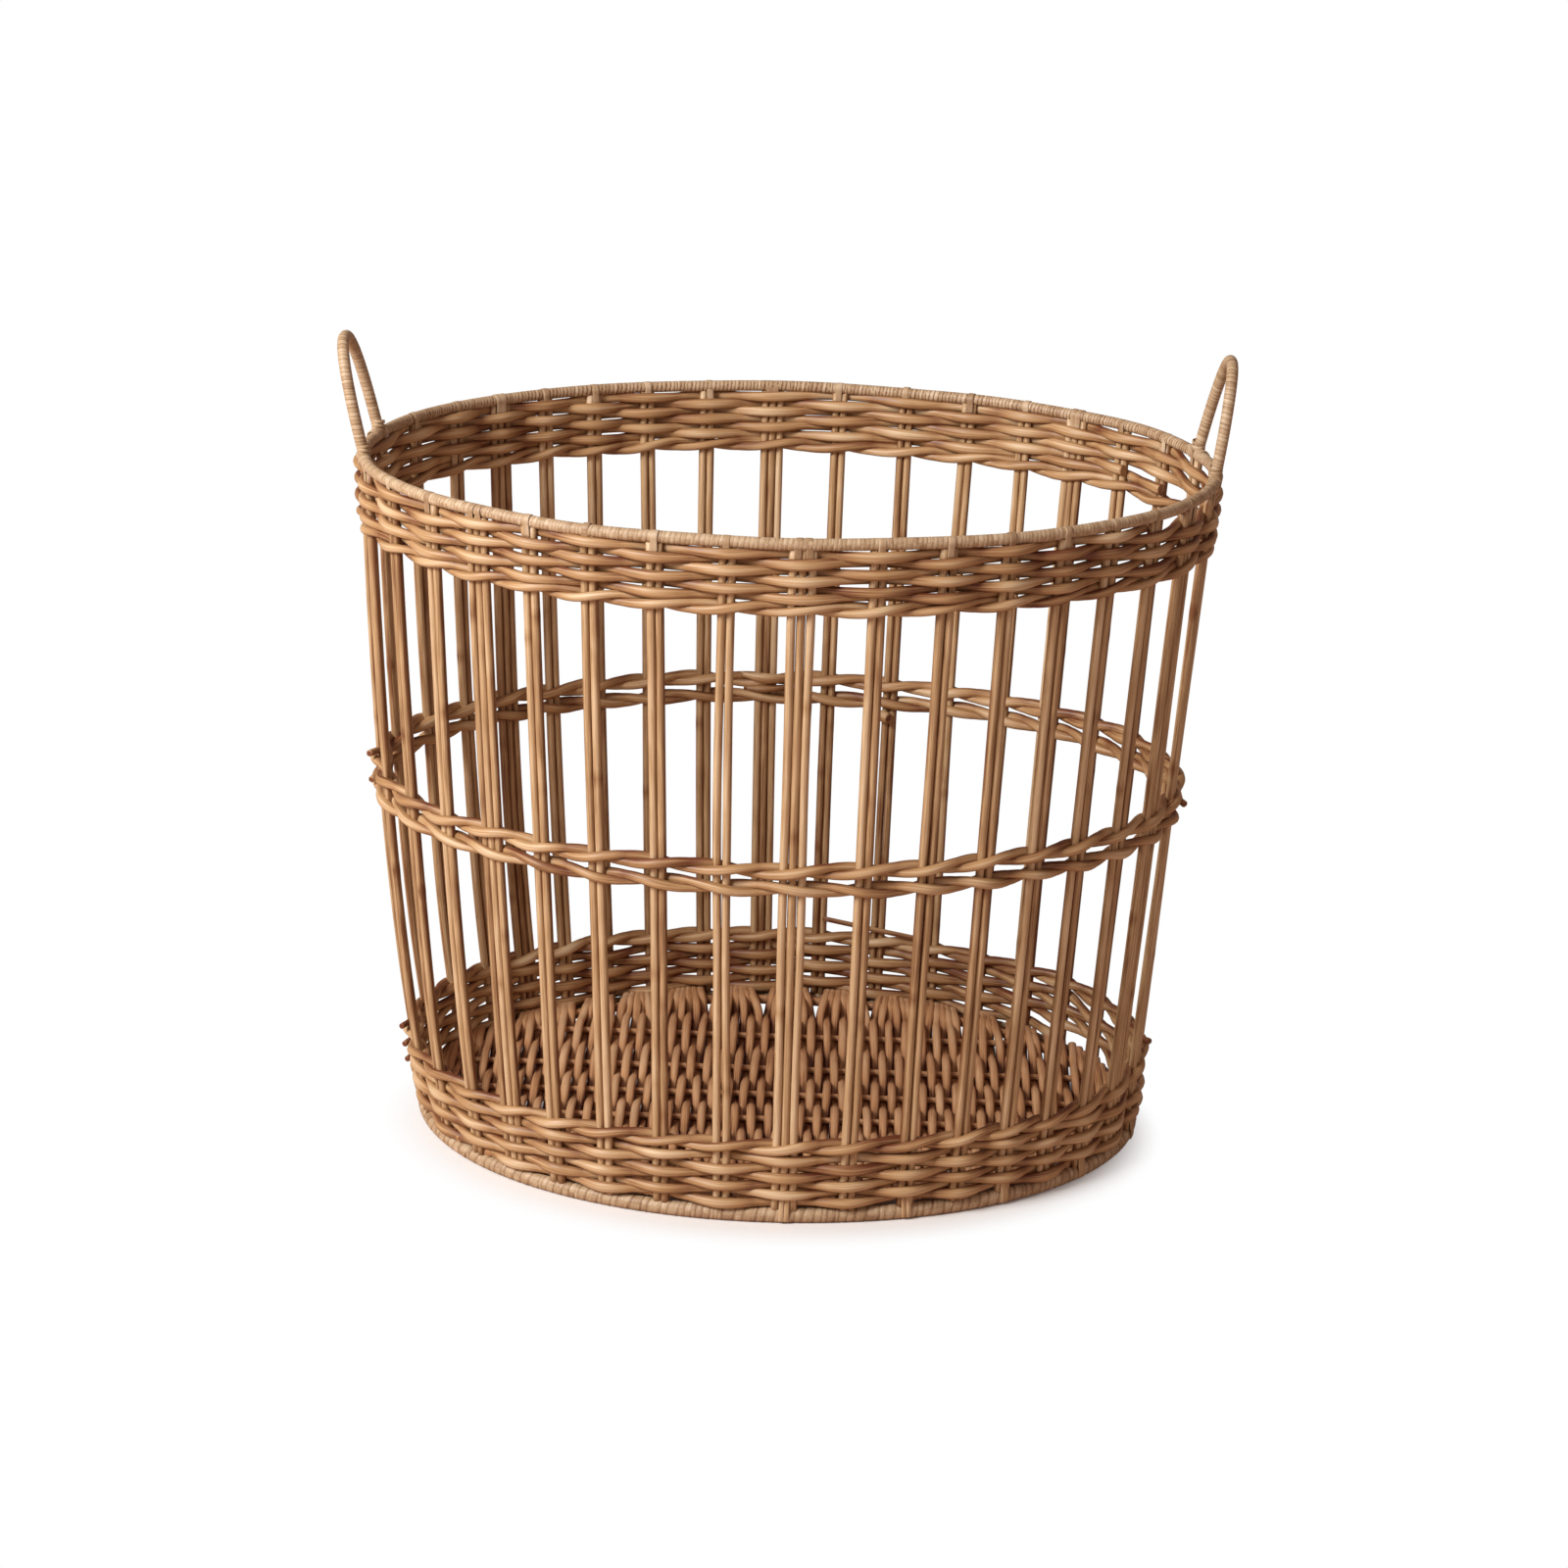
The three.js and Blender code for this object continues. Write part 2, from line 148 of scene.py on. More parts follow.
LEFT_DRAW = 7 * MM
LEFT_BELLY = 5 * MM
BACK_START = 0.45
ARC_STEPS = 2880


def half_axes(height):
    """Long and short half-axes of the wall's oval: a straight taper from the rim to the foot."""
    rise = (height - FOOT_MIDDLE) / (RIM_HEIGHT - FOOT_MIDDLE)
    long = (FOOT_LENGTH + (RIM_LENGTH - FOOT_LENGTH) * rise) / 2
    short = (FOOT_WIDTH + (RIM_WIDTH - FOOT_WIDTH) * rise) / 2
    return long, short


# Length of the oval at half height up to each angle: the running sum of its speed over the angle
ARC_ANGLES = np.linspace(0, TURN, ARC_STEPS + 1)
MIDDLE_LONG, MIDDLE_SHORT = half_axes(RIM_HEIGHT / 2)
SPEEDS = np.hypot(MIDDLE_LONG * np.sin(ARC_ANGLES), MIDDLE_SHORT * np.cos(ARC_ANGLES))
SPEED_SUMS = np.concatenate([[0], np.cumsum((SPEEDS[1:] + SPEEDS[:-1]) / 2)])
ARC_LENGTHS = SPEED_SUMS * (TURN / ARC_STEPS)


def oval_angle(place):
    """Angle on the oval of a place counted in stakes: an even share of the oval's length, with a
    slow drift of a few sines."""
    place = np.asarray(place, float)
    drifted = place + STAKE_PHASE
    for waves, size, phase in STAKE_DRIFT:
        drifted = drifted + size * np.sin(TURN * waves * place / STAKES + phase)
    return np.interp((drifted / STAKES % 1) * ARC_LENGTHS[-1], ARC_LENGTHS, ARC_ANGLES)


def outward_at(place, height):
    """Level unit vector square to the oval, pointing out: the short half-axis times the angle's
    cosine and the long one times its sine, made unit."""
    angle = oval_angle(place)
    long, short = half_axes(height)
    return unit(np.stack([short * np.cos(angle), long * np.sin(angle), 0 * angle], -1))


def at_back(angle):
    """0 at the front and sides and 1 at the back: a smooth step of the sine of the oval's angle."""
    return smooth(BACK_START, 1, np.sin(angle))


def at_left(angle):
    """0 on the right half and 1 at the left end: the squared cosine of the oval's angle."""
    return np.clip(-np.cos(angle), 0, 1) ** 2


def left_bulge(angle, height):
    """How far the left end gives way along X: it bulges as a half sine between foot and rim, and
    draws in at the foot as the fifth power of the fall."""
    rise = height / RIM_HEIGHT
    return at_left(angle) * (LEFT_DRAW * (1 - rise) ** 5 - LEFT_BELLY * np.sin(math.pi * rise))


def wall_point(place, height, outward=0.0):
    """Point of the oval at a place and height: its long half-axis times the angle's cosine, with
    the bulge, and its short one times the sine. It is then moved out square to the oval."""
    angle = oval_angle(place)
    height = height + 0 * angle
    long, short = half_axes(height)
    x = long * np.cos(angle) + left_bulge(angle, height)
    point = np.stack([x, short * np.sin(angle), height], -1)
    return point + outward_at(place, height) * np.broadcast_to(outward, angle.shape)[..., None]


# Canes and meshes

def cane(points, side, radius, width=1.0, sides=12, closed=False, tone=0.5, seed=0, relief=0.0,
         power=1.0, flank_shade=0.0):
    """A cane as a grid of rings. The corners of a ring go round its point as cosine and sine, at
    radius times width along `side` and at radius across it. A power below 1 of both makes the
    section squarer, and relief is added to the radius at each corner. The tone falls by the
    painted flank shade times the sine to the fourth, so most on the two flanks that touch the
    next cane. The grain is the place in the cane's own wood, twice across and once along, shifted
    by the seed."""
    points = np.asarray(points, float)
    ahead = np.roll(points, -1, 0) - np.roll(points, 1, 0)
    if not closed:
        ahead[0] = points[1] - points[0]
        ahead[-1] = points[-1] - points[-2]
    along = unit(ahead)
    side = np.broadcast_to(side, points.shape)
    across = unit(side - along * (side * along).sum(-1, keepdims=True))
    third = np.cross(along, across)
    angle = TURN * np.arange(sides) / sides
    cosine, sine = np.cos(angle), np.sin(angle)
    radii, widths, tones, flank_shades = (np.broadcast_to(value, len(points))[:, None]
                                     for value in (radius, width, tone, flank_shade))
    radii = radii + np.zeros(sides) + relief
    sideways = radii * widths * signed_power(cosine, power)
    upward = radii * signed_power(sine, power)
    grid = points[:, None] + across[:, None] * sideways[..., None]
    grid = grid + third[:, None] * upward[..., None]
    reach = np.mean(radius)
    wood = np.broadcast_arrays(cosine * reach, sine * reach, run_lengths(points)[:, None])
    grain = np.stack(wood, -1) + np.random.default_rng(seed).uniform(-1, 1, 3)
    return {"grid": grid, "closed": closed, "grain": grain, "tone": tones - flank_shades * sine ** 4}


def build_mesh(name, canes):
    """One mesh from several grids of rings: a quad between each corner and its neighbours, and a
    flat cap on each end of an open one. Each corner carries its grain and tone."""
    quads, caps, start = [], [], 0
    for one in canes:
        rings, sides = one["grid"].shape[:2]
        index = start + np.arange(rings * sides).reshape(rings, sides)
        near = index if one["closed"] else index[:-1]
        far = np.roll(index, -1, 0) if one["closed"] else index[1:]
        corners = [near, np.roll(near, -1, 1), np.roll(far, -1, 1), far]
        quads.append(np.stack(corners, -1).reshape(-1, 4))
        if not one["closed"]:
            caps += [index[0, ::-1], index[-1]]
        start += rings * sides
    quads = np.concatenate(quads)
    corners = np.concatenate([quads.ravel(), *caps])
    sizes = np.concatenate([np.full(len(quads), 4), [len(cap) for cap in caps]]).astype(np.int32)
    values = {field: np.concatenate([one[field].ravel() for one in canes]).astype(np.float32)
              for field in ("grid", "grain", "tone")}
    mesh = bpy.data.meshes.new(name)
    mesh.vertices.add(start)
    mesh.vertices.foreach_set("co", values["grid"])
    mesh.loops.add(len(corners))
    mesh.loops.foreach_set("vertex_index", corners.astype(np.int32))
    mesh.polygons.add(len(sizes))
    mesh.polygons.foreach_set("loop_start", (np.cumsum(sizes) - sizes).astype(np.int32))
    mesh.polygons.foreach_set("use_smooth", np.arange(len(sizes)) < len(quads))
    mesh.update(calc_edges=True)
    grain = mesh.attributes.new("grain", "FLOAT_VECTOR", "POINT")
    grain.data.foreach_set("vector", values["grain"])
    tone = mesh.attributes.new("tone", "FLOAT", "POINT")
    tone.data.foreach_set("value", values["tone"])
    return mesh


def add_object(name, data):
    """An object of this mesh, lamp or camera, in the scene."""
    thing = bpy.data.objects.new(name, data)
    bpy.context.scene.collection.objects.link(thing)
    return thing


def add_piece(name, canes, material, nodes=()):
    """A finished piece on the basket's one body, which may stand for solids of the frame."""
    piece = add_object(name, build_mesh(name, canes))
    piece.data.materials.append(material)
    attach(piece, "root")
    if nodes:
        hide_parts(*nodes)


# Materials

# Fibres are this many times longer than wide
FIBRE_STRETCH = 40
FIBRE_DETAIL = 3.0
FIBRE_CONTRAST = 1.2
FIBRE_RISE = 0.3 * MM
FIBRE_ROUGHNESS = 0.25
MIDDLE_ROUGHNESS = 0.12
# Stains in the varnish: so many a metre twice across and once along, so 14 mm wide and 45 mm long
BLOTCHES_PER_METRE = (70, 70, 22)
BLOTCH_DETAIL = 2.0
BLOTCH_DISTORTION = 0.6


def linear(hex_colour):
    """sRGB hex colour to linear red, green, blue and an alpha of 1."""
    channels = [int(hex_colour[i:i + 2], 16) / 255 for i in (1, 3, 5)]
    return [c / 12.92 if c <= 0.04045 else ((c + 0.055) / 1.055) ** 2.4 for c in channels] + [1.0]


def set_inputs(tree, node, inputs):
    """Each input of the node gets a plain value, or a link from another node's socket."""
    for name, value in inputs.items():
        if isinstance(value, bpy.types.NodeSocket):
            tree.links.new(value, node.inputs[name])
        else:
            node.inputs[name].default_value = value


def add_node(tree, kind, inputs, **settings):
    """A new node of this kind with its settings, and with its inputs set or linked."""
    node = tree.nodes.new(kind)
    for name, value in settings.items():
        setattr(node, name, value)
    set_inputs(tree, node, inputs)
    return node


def cane_material(name, pale, middle, dark, roughness, fibre, fibre_depth, blotch):
    """Three colours along the cane's tone, which thin fibres along the grain and slow blotches
    shift to both sides. The fibres also change the roughness a little and raise a fine bump. Real
    ones are some 0.2 mm wide, too fine to show, and are drawn about four times as wide."""
    material = bpy.data.materials.new(name)
    material.use_nodes = True
    tree = material.node_tree
    grain = add_node(tree, "ShaderNodeAttribute", {}, attribute_name="grain").outputs["Vector"]
    shade = add_node(tree, "ShaderNodeAttribute", {}, attribute_name="tone").outputs["Fac"]
    fibres_per_metre = (1 / fibre, 1 / fibre, 1 / fibre / FIBRE_STRETCH)
    patterns = [(fibres_per_metre, FIBRE_DETAIL, 0.0, FIBRE_CONTRAST),
                (BLOTCHES_PER_METRE, BLOTCH_DETAIL, BLOTCH_DISTORTION, blotch)]
    noises = []
    for scales, detail, distortion, contrast in patterns:
        stretch = add_node(tree, "ShaderNodeVectorMath", {0: grain, 1: scales},
                           operation="MULTIPLY")
        noise = add_node(tree, "ShaderNodeTexNoise", {
            "Vector": stretch.outputs["Vector"], "Scale": 1.0, "Detail": detail,
            "Distortion": distortion}).outputs["Fac"]
        centred = add_node(tree, "ShaderNodeMath", {0: noise, 1: 0.5}, operation="SUBTRACT")
        shade = add_node(tree, "ShaderNodeMath", {0: centred.outputs[0], 1: contrast, 2: shade},
                         operation="MULTIPLY_ADD").outputs[0]
        noises.append(noise)
    fibres = noises[0]
    ramp = add_node(tree, "ShaderNodeValToRGB", {"Fac": shade})
    stops = ramp.color_ramp.elements
    stops.new(0.5)
    for stop, colour in zip(stops, (dark, middle, pale)):
        stop.color = linear(colour)
    dullness = add_node(tree, "ShaderNodeMath", {
        0: fibres, 1: FIBRE_ROUGHNESS, 2: roughness - MIDDLE_ROUGHNESS}, operation="MULTIPLY_ADD")
    bump = add_node(tree, "ShaderNodeBump", {
        "Strength": fibre_depth, "Distance": FIBRE_RISE, "Height": fibres})
    set_inputs(tree, tree.nodes["Principled BSDF"], {
        "Base Color": ramp.outputs["Color"], "Roughness": dullness.outputs[0],
        "Normal": bump.outputs["Normal"]})
    return material


# Stakes: round rattan core, drawn smooth through a die and varnished. It looks pale and evenly
# dull, with long straight fibres.
STAKE_LOOK = cane_material("stake cane", "#e0c5a1", "#bb986e", "#764a2a",
                           0.46, 0.9 * MM, 0.25, 0.7)
# Weavers: the same core, soaked and bent round the stakes before the varnish. It looks browner,
# with its fibres opened by the bends and darker stains where varnish gathers.
WEAVER_LOOK = cane_material("weaver cane", "#dabe98", "#b58c5f", "#6b381d",
                            0.48, 0.8 * MM, 0.3, 0.8)
# Windings: flat rattan peel, split off and shaved thin, then varnished. It looks paler and duller
# than the round canes, with finer fibres.
PEEL_LOOK = cane_material("peel binding", "#dcc6a9", "#b69875", "#7a5438",
                          0.52, 0.7 * MM, 0.3, 0.6)
# Base: fine round core, pressed flat by the weaving and varnished. It looks the reddest, and
# its dark colour is the painted shade that makes it nearly black in its hollows.
BASE_LOOK = cane_material("base cane", "#e2ba90", "#c69265", "#54200d",
                          0.5, 0.8 * MM, 0.3, 0.7)


# Stakes

STAKE_FOOT = FOOT_HOOP_HEIGHT - 0.6 * MM
STAKE_TOP = RIM_HEIGHT - 3.2 * MM
STAKE_RINGS = 64
STAKE_SIDES = 14
STAKE_BOW = 1.3 * MM
STAKE_SWAY = 0.5 * MM
STAKE_PARTING = 1.2 * MM
STAKE_LEAN_OUT = 0.4 * MM
KNOT_HEIGHTS = (50 * MM, 420 * MM)
KNOT_LENGTH = 1.6 * MM
KNOT_RISE = 0.15 * MM
STAKE_SIZES = (0.96, 1.04)
STAKE_TONES = (0.38, 0.76)
END_TONE = 0.12
KNOT_SHADE = 0.3
STAKE_BACK_PAINTED_SHADE = 0.3


def stake(number):
    """Two or three straight canes side by side from foot to rim. Together they bow as a half sine
    and sway as a whole one, and in some places they part a little, as a squared sine. Each cane
    has two knots, bell curves of the height, which are thicker and darker. The stakes at the back
    are darker towards their feet, painted shade inside the back wall."""
    count = 3 if number in TRIPLE_STAKES else 2
    height = np.linspace(STAKE_FOOT, STAKE_TOP, STAKE_RINGS)
    rise = (height - STAKE_FOOT) / (STAKE_TOP - STAKE_FOOT)
    line = wall_point(np.full(STAKE_RINGS, number), height)
    outward = outward_at(number, RIM_HEIGHT / 2)
    sideways = np.cross(UP, outward)
    random = np.random.default_rng(100 + number)
    bow = random.uniform(-STAKE_BOW, STAKE_BOW) * np.sin(math.pi * rise)
    sway = random.uniform(-STAKE_SWAY, STAKE_SWAY) * np.sin(TURN * rise + random.uniform(0, TURN))
    parting = STAKE_PARTING * random.uniform(0, 1) ** 8
    parting = parting * np.sin(TURN * rise + random.uniform(0, TURN)) ** 2
    canes = []
    for k in range(count):
        radius = STAKE_CANE / 2 * random.uniform(*STAKE_SIZES)
        apart = (k - (count - 1) / 2) * (STAKE_CANE - CANE_OVERLAP + parting)
        lean_out = random.uniform(-STAKE_LEAN_OUT, STAKE_LEAN_OUT)
        out = lean_out * np.sin(1.5 * TURN * rise + random.uniform(0, TURN))
        path = line + sideways * (apart + bow + sway)[:, None] + outward * out[:, None]
        knots = [random.uniform(*KNOT_HEIGHTS) for _ in range(2)]
        knot = sum(np.exp(-((height - place) / KNOT_LENGTH) ** 2) for place in knots)
        tone = random.uniform(*STAKE_TONES) + random.uniform(-END_TONE, END_TONE) * (2 * rise - 1)
        tone = tone - KNOT_SHADE * knot - STAKE_BACK_PAINTED_SHADE * at_back(oval_angle(number)) * (1 - rise)
        canes.append(cane(path, outward, radius + KNOT_RISE * knot, sides=STAKE_SIDES,
                          seed=1000 + 10 * number + k, tone=tone, flank_shade=0.45))
    return canes


for number in range(STAKES):
    label = f"{number + 1:02d}"
    add_piece(f"stake_canes_{label}", stake(number), STAKE_LOOK, [f"stake_{label}"])


# Weave of the wall

STEPS_A_STAKE = 16
SQUEEZED = 0.82
WEAVER_DEPTH = 0.84
SWING = 4.3 * MM
TWIST_RISE = 2.3 * MM
WOBBLE = 0.6 * MM
# A weaver ends this share of a space past its last stake
WEAVER_END = 0.14
# More stakes than a weaver passes in all its rounds, so that its unevenness doesn't repeat
LONG_COUNT = 200
ROUND_SHIFT = 11
LEFT_SAG = 2.2 * MM
LEFT_SAG_ROWS = 7.5
LEFT_FLATNESS = 0.25
# How much the canes vary from place to place: in swing, thickness and tone, and slowly in tone
UNEVEN_SWING = 0.08
UNEVEN_CANE = 0.07
UNEVEN_TONE = 0.18
SLOW_TONE = 0.1
# Tones where a cane crosses the wall, darker with painted shade, and how much paler it is over
# a stake
WEAVER_TONE = 0.32
WEAVER_CROSSING_SHADE = 0.3
TWIST_TONE = 0.36
TWIST_CROSSING_SHADE = 0.26
# A pressed band is paler by the first all round, and by the second painted shade at its back
PRESSED_TONE = 0.05
PRESSED_BACK_PAINTED_SHADE = 0.22
BACK_THICKENING = 0.1
BACK_FADE = 0.4


def pointed(wave, firmness=0.85):
    """A cosine made straighter where it crosses the wall and tighter at its crests: the arcsine of
    the wave times the firmness, scaled back to 1."""
    return np.arcsin(firmness * wave) / math.asin(firmness)


def thickness(wave, full):
    """Full where the strand lies against a stake, and thinner where it crosses the wall, by the
    size of the wave."""
    return full * (SQUEEZED + (1 - SQUEEZED) * np.abs(wave))


def stouter(place):
    """The weave's canes are a little thicker round the back half: a smooth step of the sine."""
    return 1 + BACK_THICKENING * smooth(-BACK_FADE, BACK_FADE, np.sin(oval_angle(place)))


def rand_weaver(lowest_row, pitch, start, thick, pressed, order, seed):
    """Plain randing: outward goes as a pointed cosine, inside at one stake and outside at the
    next. It runs level for most of a round, then climbs two rows over a few stakes. It is darker
    with painted shade where it crosses the wall. A pressed band sags and lies flatter at the left
    end, and is darker at the back with painted shade."""
    first = start + order
    last = first + BAND_ROUNDS * STAKES - STEP_STAKES - 1 - 2 * order
    place = np.arange(first - WEAVER_END, last + WEAVER_END, 1 / STEPS_A_STAKE)
    rounds = np.maximum((place - start) / STAKES, 0)
    whole = np.floor(rounds)
    past = (rounds - whole) * STAKES - (STAKES - STEP_STAKES)
    row = order + 2 * (whole + np.clip(past / STEP_STAKES, 0, 1))
    wave = -np.cos(math.pi * (place - first))
    angle = oval_angle(place)
    left = pressed * at_left(angle)
    height = lowest_row + row * pitch - LEFT_SAG * left * (1 - row / LEFT_SAG_ROWS)
    height = height + wander(place, seed, WOBBLE)
    height = height + jitter(place + 0.5, seed + 1, WOBBLE, LONG_COUNT)
    swing = SWING * (1 + jitter(place, seed + 2, UNEVEN_SWING, LONG_COUNT))
    path = wall_point(place, height, pointed(wave) * swing * (1 - LEFT_FLATNESS * left))
    # Painted shade where the cane crosses the wall, paler over the stakes
    tone = WEAVER_TONE + WEAVER_CROSSING_SHADE * np.abs(wave)
    # Painted shade at the back of a pressed band
    tone = tone + pressed * (PRESSED_TONE - PRESSED_BACK_PAINTED_SHADE * at_back(angle))
    tone = tone + wander(place + ROUND_SHIFT * whole, seed + 3, SLOW_TONE)
    tone = tone + jitter(place, seed + 4, UNEVEN_TONE, LONG_COUNT)
    full = thick * (1 + jitter(place, seed + 5, UNEVEN_CANE, LONG_COUNT)) * stouter(place)
    return cane(path, outward_at(place, height), thickness(wave, full) / 2, WEAVER_DEPTH,
                seed=seed, tone=tone, flank_shade=0.45)


def pairing_strand(height, hand, thick, strand, seed):
    """One of two strands that twist: outward goes as a pointed cosine and height as a sine of the
    same turn, so the strand climbs outside a stake and falls inside the next, or the other way
    round. Both strands wobble together."""
    place = np.arange(STAKES * STEPS_A_STAKE) / STEPS_A_STAKE
    turn = math.pi * (place + strand)
    wave = np.cos(turn)
    pair = seed // 10
    both = wander(place, pair, WOBBLE) + jitter(place, 50 + pair, WOBBLE)
    heights = height + hand * np.sin(turn) * TWIST_RISE + both
    heights = heights + jitter(place, seed + 1, 0.4 * WOBBLE)
    swing = SWING * (thick + STAKE_CANE) / (WEAVER + STAKE_CANE)
    path = wall_point(place, heights, pointed(wave) * swing)
    # Painted shade where the strand crosses the wall, paler over the stakes
    tone = TWIST_TONE + TWIST_CROSSING_SHADE * np.abs(wave) + wander(place, seed + 2, SLOW_TONE)
    tone = tone + jitter(place, seed + 3, UNEVEN_TONE)
    full = thick * (1 + jitter(place, seed + 4, UNEVEN_CANE)) * stouter(place)
    return cane(path, outward_at(place, heights), thickness(wave, full) / 2, closed=True,
                seed=seed, tone=tone, flank_shade=0.4)


# Bands: side, lowest row, pitch of the rows, first stake, thickness, and 1 where it is pressed
BANDS = [
    ("bottom", BOTTOM_ROW, ROW_PITCH, BOTTOM_START, WEAVER, 1),
    ("top", TOP_BAND_LOW_ROW, TOP_ROW_PITCH, TOP_START, TOP_WEAVER, 0),
]
# Pairings: side, height, hand of the twist and thickness
TWISTS = [
    ("bottom", BOTTOM_TWIST_HEIGHT, 1, BOTTOM_TWIST_CANE),
    ("middle_lower", MID_BAND - MID_SPREAD / 2, -1, MID_WEAVER),
    ("middle_upper", MID_BAND + MID_SPREAD / 2, 1, MID_WEAVER),
    ("top", TOP_TWIST_HEIGHT, 1, TOP_TWIST_CANE),
]
for band, (side, *sizes) in enumerate(BANDS):
    for order, letter in enumerate("ab"):
        weaver = rand_weaver(*sizes, order, 30 + 20 * band + 7 * order)
        add_piece(f"{side}_band_cane_{letter}", [weaver], WEAVER_LOOK,
                  [f"{side}_band_weaver_{letter}"])
for band, (side, *sizes) in enumerate(TWISTS):
    for strand, letter in enumerate("ab"):
        twist = pairing_strand(*sizes, strand, 100 + 10 * band + 5 * strand)
        add_piece(f"{side}_twist_{letter}", [twist], WEAVER_LOOK,
                  [f"{side}_pairing_{letter}"])


# Short canes, lengths in mm: two places, two heights, distances out at the ends and between, the
# radius, the tone, and whether the far end is cut
SHORT_CANES = [
    ((18.2, 18.45), (60, 61), (0, 6.5, 0), 2.0, 0.05, True),
    ((18.2, 18.45), (48, 48), (0, 6.5, 0), 2.0, 0.1, True),
    ((18.2, 18.45), (37, 37), (0, 6.5, 0), 2.0, 0.05, True),
    ((18.1, 18.35), (252, 253), (0, 7, 0), 2.2, 0.35, True),
    ((18.1, 18.35), (236, 235), (0, 7, 0), 2.2, 0.35, True),
    ((35.8, 35.5), (236, 235), (0, 8, 0), 2.3, 0.4, True),
    ((35.8, 35.5), (62, 65), (-3, 6, 0), 2.2, 0.15, True),
    ((7.35, 6.98), (224, 223), (-2, -9, 0), 3.9, 0.6, True),
    ((8.55, 9.4), (246, 248), (-3, -3, -6), 3.6, 0.55, False),
    ((8.6, 9.35), (240, 238), (-3, -3, -5), 2.6, 0.45, False),
    ((7.95, 6.3), (69, 61), (-6, -5, -2), 1.8, 0.35, True),
]
SHORT_RINGS = 14
SHORT_SIDES = 14
# A cut end's last two rings: how far on along the cane they lie, and their share of its radius
BEVEL_PLACES = (1.01, 1.02)
BEVEL_SHARES = (0.85, 0.5)
# A cane that isn't cut is as thick as the half sine, or this share if it is more, to this power
THIN_SHARE = 0.35
THIN_POWER = 0.6


def short_cane(places, heights, outs, radius, tone, cut, seed):
    """A short length of cane, straight from one place on the wall to another. Between its ends it
    stands out further by a half sine of the third value of outs. A cut end is bevelled and its
    core is dark. A cane that isn't cut thins towards both ends as the half sine to a power."""
    t = np.append(np.linspace(0, 1, SHORT_RINGS), BEVEL_PLACES)
    place, height, out = (pair[0] + (pair[1] - pair[0]) * t
                          for pair in (places, np.multiply(heights, MM), np.multiply(outs, MM)))
    half_sine = np.sin(math.pi * np.minimum(t, 1))
    path = wall_point(place, height, out + outs[2] * MM * half_sine)
    tones = np.full(len(t), tone)
    if cut:
        shares = np.append(np.ones(SHORT_RINGS), BEVEL_SHARES)
        tones[-1] = 0.0
    else:
        shares = np.maximum(half_sine, THIN_SHARE) ** THIN_POWER
    return cane(path, UP, radius * MM * shares, sides=SHORT_SIDES, seed=seed, tone=tones,
                flank_shade=0.2)


cane_ends = [short_cane(*sizes, 61 + k) for k, sizes in enumerate(SHORT_CANES)]
add_piece("cane_ends", cane_ends, WEAVER_LOOK)


# Windings

PEEL_WIDTH = 2.7 * MM
FOOT_PEEL_WIDTH = 5.6 * MM
RIM_RINGS = 2800
FOOT_RINGS = 2400
RIM_WOBBLE = 0.4 * MM
# The groove between two turns starts at this share of half a turn's width, and has this much
# painted shade
GROOVE_START = 0.75
GROOVE_SHADE = 0.28
TURN_TONE = 0.12
# How far on in the wood each turn of peel lies than the turn before
WOOD_STEP = 13 * MM


def winding(points, side, radius, seed, closed, depth, width=PEEL_WIDTH, sides=18, pale=0.6,
            squash=1.0, power=1.0, uneven=0.3, inner=0.0):
    """A rod wound with flat peel: turns of uneven width follow each other as a helix, so the count
    of turns grows with the length and with the angle. Across a turn the crown is the root of 1
    minus the fourth power, `depth` high. Each turn has a tone of its own. The grooves between them
    are darker with painted shade, and darker still by `inner` on the side away from `side`, where
    the painted shade is deeper."""
    lengths = run_lengths(points)
    total = lengths[-1] + (np.linalg.norm(points[0] - points[-1]) if closed else 0)
    random = np.random.default_rng(seed)
    turns = int(round(total / width))
    widths = random.uniform(1 - uneven, 1 + uneven, turns)
    edges = np.concatenate([[0], np.cumsum(widths)]) * total / widths.sum()
    angle = np.arange(sides) / sides
    count = np.interp(lengths, edges, np.arange(turns + 1))[:, None] + angle
    within = count % 1
    crown = depth * (np.sqrt(np.clip(1 - (2 * within - 1) ** 4, 0, 1)) - 1)
    tones = pale + random.uniform(-TURN_TONE, TURN_TONE, turns)
    # Painted shade in the grooves, deeper on the side away from `side`
    groove = GROOVE_SHADE + inner * np.clip(-np.cos(TURN * angle), 0, 1)
    groove = groove * (np.abs(2 * within - 1) > GROOVE_START)
    wound = cane(points, side, radius, squash, sides, closed, seed=seed, relief=crown, power=power)
    round_rod = angle * TURN * np.mean(radius) + 0 * count
    wound["grain"] = np.stack([within * width, np.floor(count) * WOOD_STEP, round_rod], -1)
    wound["tone"] = tones[np.floor(count).astype(int) % turns] - groove
    return wound


def around(count):
    """Places evenly spread once round the basket."""
    return np.arange(count) * STAKES / count


rim_places = around(RIM_RINGS)
rim_heights = RIM_HEIGHT + wander(rim_places, 5, RIM_WOBBLE)
rim_path = wall_point(rim_places, rim_heights, wander(rim_places, 6, RIM_WOBBLE))
# The rim's grooves have deeper painted shade on its inner face
rim = winding(rim_path, outward_at(rim_places, RIM_HEIGHT), RIM_RADIUS, 11, True, 0.3 * MM,
              inner=0.5)
add_piece("rim_binding", [rim], PEEL_LOOK, ["rim_hoop"])

